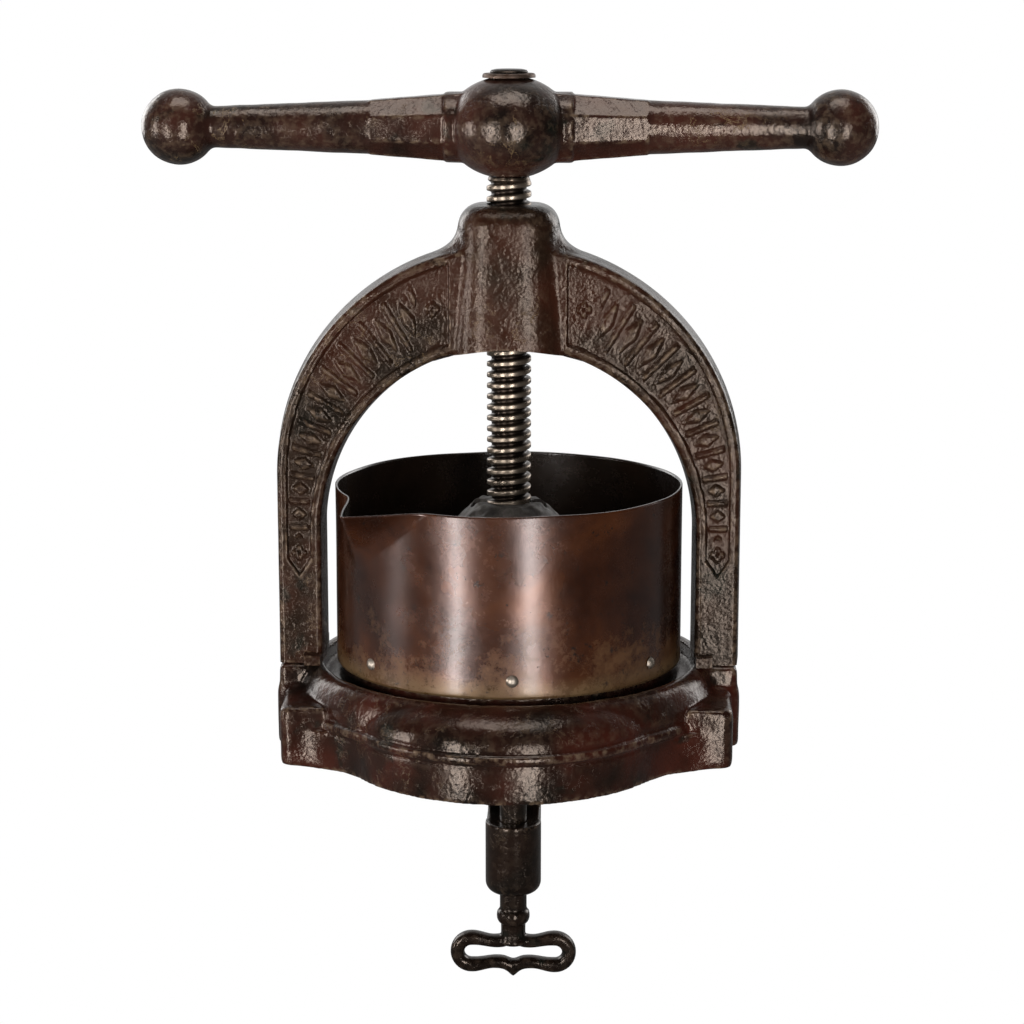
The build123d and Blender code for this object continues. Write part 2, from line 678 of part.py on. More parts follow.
def lip_section(height, inset):
    """Triangular section of the pouring lip at a height above the crease's lower end."""
    share = height / lip_drop
    tip = drum_radius + lip_reach * share - 2 * inset
    half_width = lip_half_width * (1 - lip_narrowing * (1 - share)) - inset
    root = drum_radius * lip_root
    with BuildSketch() as section:
        with BuildLine():
            Polyline((tip, 0), (root, half_width), (root, -half_width), (tip, 0))
        make_face()
    return section.sketch


def lip_plane(height):
    """Level plane at a height, with local X along the lip."""
    along = (cos(radians(lip_direction)), sin(radians(lip_direction)), 0)
    return Plane(origin=(0, 0, rim_height - lip_drop + height), x_dir=along, z_dir=(0, 0, 1))


with BuildPart() as drum_shell:
    with BuildSketch(Plane.XY.offset(seat_height)):
        Circle(drum_radius)
    extrude(amount=drum_height)
    with BuildSketch(lip_plane(0)):
        add(lip_section(0, 0))
    with BuildSketch(lip_plane(lip_drop)):
        add(lip_section(lip_drop, 0))
    loft()
    with BuildSketch(Plane.XY.offset(seat_height)):
        Circle(drum_inner)
    extrude(amount=drum_height, mode=Mode.SUBTRACT)
    with BuildSketch(lip_plane(sheet)):
        add(lip_section(sheet, sheet))
    with BuildSketch(lip_plane(lip_drop + sheet)):
        add(lip_section(lip_drop + sheet, sheet))
    loft(mode=Mode.SUBTRACT)
    for seat in rivet_seats:
        with BuildSketch(seat):
            Circle(rivet_shank + assembly_gap)
        extrude(amount=drum_radius + sheet, mode=Mode.SUBTRACT)
write(drum_shell, "drum_shell")

flange_radius = drum_inner - assembly_gap
with BuildPart() as drum_bottom:
    with BuildSketch(Plane.XY.offset(seat_height)):
        Circle(flange_radius)
    extrude(amount=bottom_flange)
    with BuildSketch(Plane.XY.offset(bottom_top)):
        Circle(flange_radius - sheet)
    extrude(amount=bottom_flange, mode=Mode.SUBTRACT)
    for seat in rivet_seats:
        with BuildSketch(seat):
            Circle(rivet_shank + assembly_gap)
        extrude(amount=drum_radius + sheet, mode=Mode.SUBTRACT)
write(drum_bottom, "drum_bottom")

cap_radius = (rivet_head**2 + rivet_head_height**2) / (2 * rivet_head_height)
cap_angle = asin(rivet_head / cap_radius) / 2
cap_centre = drum_radius + rivet_head_height - cap_radius
with BuildPart() as drum_rivets:
    tail_face = flange_radius - sheet - assembly_gap
    tail_end = tail_face - rivet_shank / 2
    for seat in rivet_seats:
        section = Plane(origin=seat.origin, x_dir=seat.z_dir, z_dir=seat.z_dir.cross(Vector(0, 0, 1)))
        with BuildSketch(section):
            with BuildLine():
                Polyline((tail_end, 0), (tail_end, rivet_tail), (tail_face, rivet_tail),
                         (tail_face, rivet_shank), (drum_radius, rivet_shank), (drum_radius, rivet_head))
                ThreePointArc((drum_radius, rivet_head),
                              (cap_centre + cap_radius * cos(cap_angle), cap_radius * sin(cap_angle)),
                              (drum_radius + rivet_head_height, 0))
                Line((drum_radius + rivet_head_height, 0), (tail_end, 0))
            make_face()
        revolve(axis=Axis(seat.origin, seat.z_dir))
write(drum_rivets, "drum_rivets")

# ---- strainer ----
with BuildPart() as strainer_floor:
    with BuildSketch(Plane.XY.offset(strainer_floor_bottom)):
        Circle(strainer_radius)
        for ring in range(1, strainer_rings + 1):
            with PolarLocations(ring * strainer_inner / (strainer_rings + 1), 6 * ring):
                Circle(strainer_hole, mode=Mode.SUBTRACT)
    extrude(amount=sheet)
write(strainer_floor, "strainer_floor")

with BuildPart() as strainer_wall:
    with BuildSketch(Plane.XY.offset(strainer_floor_top)):
        Circle(strainer_radius)
        Circle(strainer_inner, mode=Mode.SUBTRACT)
    extrude(amount=strainer_height)
    for row in range(strainer_rows):
        hole_height = strainer_floor_top + (row + 1) * strainer_height / (strainer_rows + plain_rows)
        for column in range(strainer_columns // 2):
            hole_angle = (column + row % 2 / 2) * 360 / strainer_columns
            across = (cos(radians(hole_angle)), sin(radians(hole_angle)), 0)
            with BuildSketch(Plane(origin=(0, 0, hole_height), z_dir=across)):
                Circle(strainer_hole)
            extrude(amount=2 * strainer_radius, both=True, mode=Mode.SUBTRACT)
write(strainer_wall, "strainer_wall")

with BuildPart() as strainer_ring:
    ring_height = strainer_floor_top + strainer_height - ring_wire
    with BuildSketch(Plane.XZ):
        with Locations((strainer_radius + assembly_gap + ring_wire, ring_height)):
            Circle(ring_wire)
    revolve(axis=Axis.Z)
write(strainer_ring, "strainer_ring")

with BuildPart() as strainer_feet:
    with BuildSketch(Plane.XY.offset(bottom_top)):
        with PolarLocations(strainer_foot_circle, strainer_foot_count, start_angle=rivet_start):
            Circle(strainer_foot_radius)
    extrude(amount=strainer_foot_height)
write(strainer_feet, "strainer_feet")
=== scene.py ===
import math

import bpy
import numpy as np
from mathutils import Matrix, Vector, noise


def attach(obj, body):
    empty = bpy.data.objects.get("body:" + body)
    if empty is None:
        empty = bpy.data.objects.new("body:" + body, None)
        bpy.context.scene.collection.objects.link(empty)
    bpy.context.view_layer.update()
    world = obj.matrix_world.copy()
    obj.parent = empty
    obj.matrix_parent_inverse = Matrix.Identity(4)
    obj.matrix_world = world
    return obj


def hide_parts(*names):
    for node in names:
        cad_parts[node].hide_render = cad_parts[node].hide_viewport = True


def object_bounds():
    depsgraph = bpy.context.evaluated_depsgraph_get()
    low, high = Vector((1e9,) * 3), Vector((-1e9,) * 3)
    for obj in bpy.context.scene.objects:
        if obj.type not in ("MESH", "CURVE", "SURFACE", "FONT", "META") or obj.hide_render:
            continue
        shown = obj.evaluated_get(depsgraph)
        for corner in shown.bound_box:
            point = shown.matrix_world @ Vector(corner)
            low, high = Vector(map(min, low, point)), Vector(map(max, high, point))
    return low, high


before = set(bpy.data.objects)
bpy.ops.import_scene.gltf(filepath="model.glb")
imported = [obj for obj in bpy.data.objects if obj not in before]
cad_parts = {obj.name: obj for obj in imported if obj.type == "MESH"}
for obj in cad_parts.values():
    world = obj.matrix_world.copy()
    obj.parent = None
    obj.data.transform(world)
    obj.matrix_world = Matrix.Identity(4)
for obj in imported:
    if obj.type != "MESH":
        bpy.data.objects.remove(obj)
cad_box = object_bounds()
MM = 0.001

# ---- Arch ----
# One iron casting from a two-part sand mould, split on the plane through the screw's axis: two
# drafted legs, a crown that swells into the threaded boss, and a bordered panel sunk in each side
# of the front. Brown stoving japan, chipped and rubbed along the edges, which are painted lighter
# as wear and as a painted highlight.


def plain_grid(name, columns, rows):
    """A flat grid primitive with one crossing per column and row; returns it with its indices."""
    bpy.ops.object.select_all(action="DESELECT")
    bpy.ops.mesh.primitive_grid_add(x_subdivisions=columns - 1, y_subdivisions=rows - 1, size=2)
    piece = bpy.context.object
    piece.name = piece.data.name = name
    places = np.empty(len(piece.data.vertices) * 3)
    piece.data.vertices.foreach_get("co", places)
    places = places.reshape(-1, 3)
    u = np.rint((places[:, 0] + 1) / 2 * (columns - 1)).astype(int)
    v = np.rint((places[:, 1] + 1) / 2 * (rows - 1)).astype(int)
    return piece, u, v


def set_places(piece, places):
    """Moves a mesh's vertices to an array of places in millimetres."""
    piece.data.vertices.foreach_set("co", (np.asarray(places) * MM).reshape(-1))
    piece.data.update()


def get_places(piece):
    """A mesh's vertex places in millimetres."""
    places = np.empty(len(piece.data.vertices) * 3)
    piece.data.vertices.foreach_get("co", places)
    return places.reshape(-1, 3) / MM


def get_normals(piece):
    """A mesh's vertex normals."""
    normals = np.empty(len(piece.data.vertices) * 3)
    piece.data.vertices.foreach_get("normal", normals)
    return normals.reshape(-1, 3)


def close_up(piece, gap=0.002):
    """Merges doubled vertices, drops collapsed faces and turns every face outwards."""
    bpy.ops.object.select_all(action="DESELECT")
    bpy.context.view_layer.objects.active = piece
    piece.select_set(True)
    bpy.ops.object.mode_set(mode="EDIT")
    bpy.ops.mesh.select_all(action="SELECT")
    bpy.ops.mesh.remove_doubles(threshold=gap * MM)
    bpy.ops.mesh.dissolve_degenerate(threshold=gap * MM / 2)
    bpy.ops.mesh.select_all(action="SELECT")
    bpy.ops.mesh.normals_make_consistent(inside=False)
    bpy.ops.object.mode_set(mode="OBJECT")
    bpy.ops.object.shade_smooth()


def mark_edges(piece, full=0.35, reach=1):
    """Stores an edge mask, 1 on convex edges that hands and cloths rub and 0 on flats and hollows; the finish
    paints those edges lighter, as wear and as a painted highlight.
    """
    mesh = piece.data
    count = len(mesh.vertices)
    places = get_places(piece)
    normals = get_normals(piece)
    ends = np.empty(len(mesh.edges) * 2, dtype=int)
    mesh.edges.foreach_get("vertices", ends)
    ends = ends.reshape(-1, 2)
    start, stop = ends[:, 0], ends[:, 1]
    way = places[stop] - places[start]
    length = np.maximum(np.linalg.norm(way, axis=1), 1e-4)
    bend = np.einsum("ij,ij->i", way, normals[stop] - normals[start]) / length**2
    total, weight = np.zeros(count), np.zeros(count)
    for end in (start, stop):
        np.add.at(total, end, bend)
        np.add.at(weight, end, 1)
    wear = total / np.maximum(weight, 1)
    for _ in range(reach):
        spread = np.zeros(count)
        np.add.at(spread, start, wear[stop])
        np.add.at(spread, stop, wear[start])
        wear = 0.5 * wear + 0.5 * spread / np.maximum(weight, 1)
    wear = np.clip(wear / full, 0, 1)
    layer = mesh.attributes.new("edge_wear_glint", "FLOAT", "POINT")
    layer.data.foreach_set("value", wear.astype(np.float32))


def roughen(piece, depth, size, seed, keep=None):
    """Moves vertices along their normals by noise, as sand does to a casting; sizes in mm."""
    places = get_places(piece)
    normals = get_normals(piece)
    lift = np.array([noise.noise(Vector(p / size) + Vector((seed, 0, 0))) for p in places])
    if keep is not None:
        lift = lift * keep(places)
    set_places(piece, places + normals * (lift * depth)[:, None])


def smooth_step(low, high, value):
    """0 below low, 1 above high, and a smooth rise between."""
    share = np.clip((value - low) / (high - low), 0, 1)
    return share * share * (3 - 2 * share)


def new_material(name):
    """An empty node material with its shader; returns the material and the shader node."""
    material = bpy.data.materials.new(name)
    material.use_nodes = True
    return material, material.node_tree.nodes["Principled BSDF"]


def add_node(material, kind, settings=None, **sockets):
    """Adds a node; sockets are values, or (node, output name) to link from."""
    tree = material.node_tree
    node = tree.nodes.new(kind)
    for key, value in (settings or {}).items():
        setattr(node, key, value)
    for key, value in sockets.items():
        socket = node.inputs[int(key[1:])] if key[0] == "i" and key[1:].isdigit() else node.inputs[key]
        if isinstance(value, tuple) and len(value) == 2 and isinstance(value[0], bpy.types.Node):
            tree.links.new(value[0].outputs[value[1]], socket)
        else:
            socket.default_value = value
    return node


def link(material, node, output, target, socket):
    """Joins one node's output to another's input."""
    material.node_tree.links.new(node.outputs[output], target.inputs[socket])


def object_place(material, shift=(0, 0, 0), scale=(1, 1, 1)):
    """Object coordinates, shifted and scaled by a Mapping node."""
    place = add_node(material, "ShaderNodeTexCoord")
    return add_node(material, "ShaderNodeMapping", Vector=(place, "Object"), Location=shift, Scale=scale)


def noise_node(material, place, scale, detail=4.0, rough=0.55, warp=0.0):
    """A Noise texture on a placed coordinate; scale is in features per metre."""
    return add_node(material, "ShaderNodeTexNoise", Vector=(place, "Vector"), Scale=scale, Detail=detail,
                    Roughness=rough, Distortion=warp)


def ramp(material, source, output, *stops):
    """A colour ramp over (position, grey or colour) stops."""
    node = add_node(material, "ShaderNodeValToRGB", Fac=(source, output))
    band = node.color_ramp
    while len(band.elements) < len(stops):
        band.elements.new(0.5)
    for element, (position, shade) in zip(band.elements, stops):
        element.position = position
        element.color = (*shade, 1) if isinstance(shade, tuple) else (shade, shade, shade, 1)
    return node


def mix_colour(material, factor, first, second, blend="MIX"):
    """Mixes two colours; each is a colour or (node, output)."""
    node = add_node(material, "ShaderNodeMix", {"data_type": "RGBA", "blend_type": blend})
    tree = material.node_tree
    for slot, value in ((0, factor), (6, first), (7, second)):
        if isinstance(value, tuple) and isinstance(value[0], bpy.types.Node):
            tree.links.new(value[0].outputs[value[1]], node.inputs[slot])
        elif slot:
            node.inputs[slot].default_value = (*value, 1)
        else:
            node.inputs[slot].default_value = value
    return node


def mathed(material, operation, first, second):
    """One sum of two values; each is a number or (node, output)."""
    return add_node(material, "ShaderNodeMath", {"operation": operation}, i0=first, i1=second)


def japanned_iron(name, dark, brown, red, grain=1.0, gloss=0.0, seed=0.0, flakes=0.5, shine=0.34,
                  worn=(0.12, 0.080, 0.052)):
    """Stoved japan on a sand casting: patchy browns, flaked outlines, pebbly grain, and edges painted lighter
    as rubbed wear and as a painted highlight.
    """
    material, shader = new_material(name)
    place = object_place(material, shift=(seed, seed * 0.7, 0))
    broad = noise_node(material, place, 38, detail=3)
    patch = ramp(material, broad, "Fac", (0.34, dark), (0.47, brown), (0.62, red))
    green = noise_node(material, place, 60, detail=5, warp=0.4)
    green_mask = ramp(material, green, "Fac", (0.60, 0.0), (0.68, 0.75))
    base = mix_colour(material, (green_mask, "Color"), (patch, "Color"), (0.006, 0.008, 0.006))
    flake = noise_node(material, place, 150, detail=8, rough=0.66, warp=0.5)
    outline = ramp(material, flake, "Fac", (0.565, 0.0), (0.577, flakes), (0.588, 0.0))
    where = noise_node(material, place, 24, detail=2)
    where_mask = ramp(material, where, "Fac", (0.52, 0.0), (0.62, 1.0))
    flaked = mathed(material, "MULTIPLY", (outline, "Color"), (where_mask, "Color"))
    base = mix_colour(material, (flaked, "Value"), (base, 2), (0.22, 0.145, 0.07))
    # Convex edges take the worn colour: rubbed japan, and a painted highlight where the edges glint.
    edge = add_node(material, "ShaderNodeAttribute", {"attribute_name": "edge_wear_glint"})
    speck = noise_node(material, place, 420, detail=3)
    speck_mask = ramp(material, speck, "Fac", (0.45, 0.0), (0.66, 1.0))
    rubbed_glint_mask = mathed(material, "MULTIPLY", (edge, "Fac"), (speck_mask, "Color"))
    base = mix_colour(material, (rubbed_glint_mask, "Value"), (base, 2), worn)
    link(material, base, 2, shader, "Base Color")
    dull = noise_node(material, place, 150, detail=5)
    rough = ramp(material, dull, "Fac", (0.3, 0.13 - gloss / 2), (0.7, 0.30 - gloss))
    link(material, rough, "Color", shader, "Roughness")
    pebble = add_node(material, "ShaderNodeTexVoronoi", {"feature": "SMOOTH_F1"}, Vector=(place, "Vector"),
                      Scale=820, Smoothness=0.6)
    sand = noise_node(material, place, 1250, detail=4, rough=0.6)
    swell = noise_node(material, place, 210, detail=3)
    height = mathed(material, "ADD", (pebble, "Distance"), (sand, "Fac"))
    fine = add_node(material, "ShaderNodeBump", Height=(height, "Value"), Strength=0.30 * grain,
                    Distance=0.00035)
    lumps = add_node(material, "ShaderNodeBump", Height=(swell, "Fac"), Strength=0.38 * grain,
                     Distance=0.0011, Normal=(fine, "Normal"))
    flake_height = ramp(material, flake, "Fac", (0.566, 0.0), (0.582, 1.0))
    chips = add_node(material, "ShaderNodeBump", Height=(flake_height, "Color"), Strength=0.3,
                     Distance=0.00015, Normal=(lumps, "Normal"))
    link(material, chips, "Normal", shader, "Normal")
    shader.inputs["Specular IOR Level"].default_value = shine
    shader.inputs["Specular Tint"].default_value = (1.0, 0.80, 0.66, 1)
    shader.inputs["Coat Weight"].default_value = 0.04
    shader.inputs["Coat Roughness"].default_value = 0.2
    return material


brown_japan = japanned_iron("brown_japan", (0.006, 0.0045, 0.003), (0.017, 0.0085, 0.005),
                            (0.034, 0.011, 0.006))

leg_outer, leg_inner = 77.0, 60.9
foot, boss_top = 27.5, 179.0
outer_spring, inner_spring = 90.4, 72.0
face_depth, draft, corner = 13.0, 0.0875, 1.7
boss_radius, boss_foot_radius, boss_dome, boss_square = 16.5, 18.8, 7.0, 3.0


def arch_insets(x, z):
    """Distances in from the arch's outer and inner outlines, seen from the front."""
    outer = np.where(z > outer_spring, leg_outer - np.hypot(x, z - outer_spring), leg_outer - np.abs(x))
    inner = np.where(z > inner_spring, np.hypot(x, z - inner_spring) - leg_inner, np.abs(x) - leg_inner)
    return outer, inner


def arch_solid(x, y, z):
    """Positive inside the casting: the drafted arch and the boss, run together by a fillet."""
    outer, inner = arch_insets(x, z)
    side = corner - (np.minimum(outer, inner) - draft * y)
    front = corner - (face_depth - y)
    arm = (corner - np.hypot(np.maximum(side, 0), np.maximum(front, 0))
           - np.minimum(np.maximum(side, front), 0))
    radius = np.interp(z, (133, 167), (boss_foot_radius, boss_radius))
    out = (np.abs(x) ** boss_square + np.abs(y) ** boss_square) ** (1 / boss_square)
    round_side = boss_dome - (radius - out)
    top = boss_dome - (boss_top - z)
    boss = (boss_dome - np.hypot(np.maximum(round_side, 0), np.maximum(top, 0))
            - np.minimum(np.maximum(round_side, top), 0))
    boss = np.where(z > inner_spring + 20, boss, -50)
    blend = 8.5 - 7.0 * smooth_step(5, 12, y)
    share = np.clip(0.5 + 0.5 * (arm - boss) / blend, 0, 1)
    union = boss + (arm - boss) * share + blend * share * (1 - share)
    return np.minimum(union, inner - 0.02 * y)


def reach_out(inside, low, high):
    """Largest value between low and high at which inside(value) is still positive."""
    for _ in range(26):
        middle = (low + high) / 2
        kept = inside(middle) >= 0
        low, high = np.where(kept, middle, low), np.where(kept, high, middle)
    return (low + high) / 2


leg_steps, shoulder_steps, crown_steps = 105, 118, 137
legs = np.linspace(0, 1, leg_steps, endpoint=False)
outer_half = [np.column_stack([np.full(leg_steps, -leg_outer), foot + legs * (outer_spring - foot)])]
inner_half = [np.column_stack([np.full(leg_steps, -leg_inner), foot + legs * (inner_spring - foot)])]
fan_height = 150.0
bend_end = math.pi - math.asin((fan_height - outer_spring) / leg_outer)
turns = np.linspace(math.pi, bend_end, shoulder_steps, endpoint=False)
outer_half.append(np.column_stack([leg_outer * np.cos(turns), outer_spring + leg_outer * np.sin(turns)]))
inner_end = bend_end + 0.075
turns = np.linspace(math.pi, inner_end, shoulder_steps, endpoint=False)
inner_half.append(np.column_stack([leg_inner * np.cos(turns), inner_spring + leg_inner * np.sin(turns)]))
rays = np.linspace(math.pi, math.pi / 2, crown_steps)
length = reach_out(lambda r: arch_solid(r * np.cos(rays), 0 * r, fan_height + r * np.sin(rays)),
                   np.full(crown_steps, 20.0), np.full(crown_steps, 60.0))
outer_half.append(np.column_stack([length * np.cos(rays), fan_height + length * np.sin(rays)]))
turns = inner_end + (math.pi / 2 - inner_end) * np.linspace(0, 1, crown_steps) ** 0.85
inner_half.append(np.column_stack([leg_inner * np.cos(turns), inner_spring + leg_inner * np.sin(turns)]))
outer_half, inner_half = np.vstack(outer_half), np.vstack(inner_half)
outer_line = np.vstack([outer_half[:1], outer_half, outer_half[-2::-1] * (-1, 1), outer_half[:1] * (-1, 1)])
inner_line = np.vstack([inner_half[:1], inner_half, inner_half[-2::-1] * (-1, 1), inner_half[:1] * (-1, 1)])
columns = len(inner_line)
near_insets = np.array([0, 0.2, 0.45, 0.75, 1.0, 1.15, 1.35, 1.65, 2.05, 2.6])
face_rows = 42
rows = 2 * len(near_insets) + face_rows
panel_edge = face_depth * draft + 2.9
toe_inner, toe_outer, toe_top, toe_front = 62.2, 67.7, 31, 16.4
bore_radius, bore_length, bore_middle = 7.36, 80, 155


def raised(distance):
    """Height share of a cast ornament from the distance inside its outline, in mm."""
    return smooth_step(-0.25, 0.35, distance)


def panel_relief(x, z, outer, inner):
    """Relief of the front: sunk panels with a row of bars and lozenges, and a flower at each end."""
    wide = np.maximum(outer + inner - 2 * panel_edge, 0.1)
    beside = np.abs(x) - 19
    tip = (z - 57 - 1.5 * np.abs(np.abs(x) - (leg_inner + leg_outer) / 2)) * 0.55
    inside = np.minimum(np.minimum(outer, inner) - panel_edge, np.minimum(beside, tip))
    sunk = smooth_step(-0.1, 0.55, inside)
    turn = np.arctan2(z - 80, np.abs(x))
    along = np.where(z < 80, z - 80, turn * 69)
    cell = 4.3
    number = np.floor(along / cell)
    part = (along / cell - number - 0.5) * cell
    across = (inner - outer) / 2
    bar = np.minimum(0.75 - np.abs(part), 0.38 * wide - np.abs(across))
    lozenge = 1.4 * (1 - np.abs(part) / 2.0 - np.abs(across) / (0.30 * wide))
    motif = np.where(number % 2 == 1, lozenge, bar)
    motif = np.where((z > 70) & (np.abs(x) > 30), motif, -1)
    flower = np.full(len(x), -1.0)
    for centre_x, centre_z in ((68.95, 64.8), (24.5, 145.8)):
        for side_x, side_z in ((1.4, 0), (-1.4, 0), (0, 1.4), (0, -1.4)):
            petal = 1.05 - np.hypot(np.abs(x) - centre_x - side_x, z - centre_z - side_z)
            flower = np.maximum(flower, petal)
    return -1.25 * sunk + 0.95 * np.maximum(raised(motif), raised(flower)) * sunk


halves = []
for side in (-1, 1):
    half, u, v = plain_grid(f"arch_half_{side}", columns, rows)
    low, high = inner_line[u], outer_line[u]
    width = np.linalg.norm(high - low, axis=1)
    across = (high - low) / width[:, None]
    inset = near_insets[-1] + (v - len(near_insets) + 1) / (face_rows + 1) * (width - 2 * near_insets[-1])
    near, far = v < len(near_insets), v >= rows - len(near_insets)
    inset[near] = near_insets[v[near]]
    inset[far] = width[far] - near_insets[rows - 1 - v[far]]
    flat = low + across * inset[:, None]
    x, z = flat[:, 0], flat[:, 1]
    depth = reach_out(lambda y: arch_solid(x, y, z), np.zeros(len(x)), np.full(len(x), 24.0))
    depth[(v == 0) | (v == rows - 1) | (u == 0) | (u == columns - 1)] = 0
    outer, inner = arch_insets(x, z)
    if side == -1:
        depth = depth + np.where(depth > 12, panel_relief(x, z, outer, inner), 0)
    toe = (np.abs(x) > toe_inner) & (np.abs(x) < toe_outer) & (z < toe_top) & (depth > 5)
    depth = np.where(toe, toe_front, depth)
    set_places(half, np.column_stack([x, side * depth, z]))
    halves.append(half)
bpy.ops.object.select_all(action="DESELECT")
for half in halves:
    half.select_set(True)
bpy.context.view_layer.objects.active = halves[0]
bpy.ops.object.join()
arch = bpy.context.object
arch.name = arch.data.name = "arch"
close_up(arch, 0.01)
bpy.ops.mesh.primitive_cylinder_add(vertices=72, radius=bore_radius * MM, depth=bore_length * MM,
                                    location=(0, 0, bore_middle * MM))
bore = bpy.context.object
cut = arch.modifiers.new("bore", "BOOLEAN")
cut.object, cut.operation, cut.solver = bore, "DIFFERENCE", "EXACT"
bpy.ops.object.select_all(action="DESELECT")
bpy.context.view_layer.objects.active = arch
arch.select_set(True)
bpy.ops.object.modifier_apply(modifier="bore")
bpy.data.objects.remove(bore)
bpy.ops.object.shade_smooth_by_angle(angle=math.radians(50))
mark_edges(arch)
arch.data.materials.clear()
arch.data.materials.append(brown_japan)
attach(arch, "frame")
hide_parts("arch_frame")

# ---- Base ----
# The cast base: a bow-fronted skirt with a corner block each side, a bead and an ovolo up to the
# ridge, a catch groove and the platform that the drum stands on. Its japan is redder than the arch's.


def cast_over(piece, grain_size, smoothing):
    """Runs a mesh into one closed skin with corners as soft as sand leaves them; grain in mm."""
    remesh = piece.modifiers.new("cast", "REMESH")
    remesh.mode, remesh.voxel_size = "VOXEL", grain_size * MM
    bpy.ops.object.modifier_apply(modifier="cast")
    soften = piece.modifiers.new("soften", "SMOOTH")
    soften.factor, soften.iterations = 0.5, smoothing
    bpy.ops.object.modifier_apply(modifier="soften")
    bpy.ops.object.shade_smooth()


def cast_from(node, name, grain_size, smoothing):
    """A copy of a CAD node with its corners softened as sand casting softens them."""
    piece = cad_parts[node].copy()
    piece.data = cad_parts[node].data.copy()
    piece.parent = None
    piece.name = piece.data.name = name
    for key in list(piece.keys()):
        del piece[key]
    bpy.context.collection.objects.link(piece)
    close_up(piece, 0.005)
    bpy.context.view_layer.objects.active = piece
    cast_over(piece, grain_size, smoothing)
    piece.data.materials.clear()
    return piece


base = cast_from("base_casting", "base", 0.62, 2)
spots = get_places(base)
corners = base.vertex_groups.new(name="corners")
away = smooth_step(62, 69, np.abs(spots[:, 0]))
for level in (0.25, 0.5, 0.75, 1.0):
    picked = np.flatnonzero((away > level - 0.25) & (away <= level))
    corners.add([int(number) for number in picked], level, "REPLACE")
round_off = base.modifiers.new("round_off", "SMOOTH")
round_off.vertex_group, round_off.factor, round_off.iterations = "corners", 0.8, 34
bpy.ops.object.modifier_apply(modifier="round_off")
base.vertex_groups.clear()
spots = get_places(base)
normals = get_normals(base)
moulded = (np.abs(spots[:, 0]) < 58) & (spots[:, 1] < 0) & (normals[:, 2] > -0.5)
bead_top, bead_bottom = 16.1, 12.1
cut = (0.55 * np.exp(-((spots[:, 2] - bead_top) / 0.55) ** 2)
       + 0.4 * np.exp(-((spots[:, 2] - bead_bottom) / 0.5) ** 2))
cut = np.where(moulded & (np.hypot(spots[:, 0], spots[:, 1]) > 66), cut, 0)
set_places(base, spots - normals * cut[:, None])
roughen(base, 0.2, 9.0, 5)
thin_out = base.modifiers.new("thin_out", "DECIMATE")
thin_out.ratio = 0.55
bpy.ops.object.modifier_apply(modifier="thin_out")
mark_edges(base, full=0.4, reach=2)
base_japan = japanned_iron("base_japan", (0.006, 0.004, 0.003), (0.020, 0.007, 0.0045), (0.042, 0.010, 0.006),
                           grain=0.6, gloss=0.04, seed=3.1, flakes=0.22)
base.data.materials.append(base_japan)
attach(base, "frame")
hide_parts("base_casting")

# ---- Drum ----
# Rolled and riveted tinned sheet gone copper brown, with a pouring lip hammered out of the rim.
# Outside it is patchy brown over rust near the bottom; the inside is painted nearly black as shade.
drum_radius, drum_sheet, seat_height, rim_height = 57.8, 0.7, 27.9, 86.9
lip_angle, lip_lean, lip_reach, lip_drop = math.radians(225), math.radians(14), 15.5, 23.0
drum_columns, wall_rows = 481, 74
last_row = 2 * wall_rows + 2
drum, u, v = plain_grid("drum", drum_columns, last_row + 1)
around = u / (drum_columns - 1) * 2 * math.pi
inward = v > wall_rows
level = np.where(inward, 2 * wall_rows + 1 - v, v) / wall_rows
level = np.where(v == last_row, 0, np.clip(level, 0, 1))
z = seat_height + (rim_height - seat_height) * level
rise = np.clip((z - (rim_height - lip_drop)) / lip_drop, 0, 1)
turn_off = np.abs((around - lip_angle + lip_lean * (1 - rise) + math.pi) % (2 * math.pi) - math.pi)
half_turn = math.radians(21) * (0.30 + 0.70 * rise)
bow = np.clip(1 - turn_off / half_turn, 0, 1)
lip = bow**2 * (1 + 0.62 * (1 - bow)) * rise**1.35
wave = np.array([noise.noise(Vector((1.6 * math.cos(a), 1.6 * math.sin(a), h / 45)))
                 for a, h in zip(around, z)])
radius = drum_radius - 0.15 + 0.30 * wave + (lip_reach - 0.1) * lip
radius = radius - np.where(inward & (v != last_row), drum_sheet, 0)
edge_wave = 0.35 * np.array([noise.noise(Vector((2.2 * math.cos(a), 2.2 * math.sin(a), 7))) for a in around])
z = z + np.where(level > 0.5, (edge_wave - 0.35 - 1.3 * lip) * smooth_step(0.5, 1, level), 0)
set_places(drum, np.column_stack([radius * np.cos(around), radius * np.sin(around), z]))
close_up(drum, 0.01)
# Marks the inward-facing faces, which the finish paints near black as shade.
layer = drum.data.attributes.new("inside", "FLOAT", "POINT")
spots = get_places(drum)
spot_turn = np.arctan2(spots[:, 1], spots[:, 0])
normals = get_normals(drum)
facing = normals[:, 0] * np.cos(spot_turn) + normals[:, 1] * np.sin(spot_turn)
layer.data.foreach_set("value", (facing < 0).astype(np.float32))


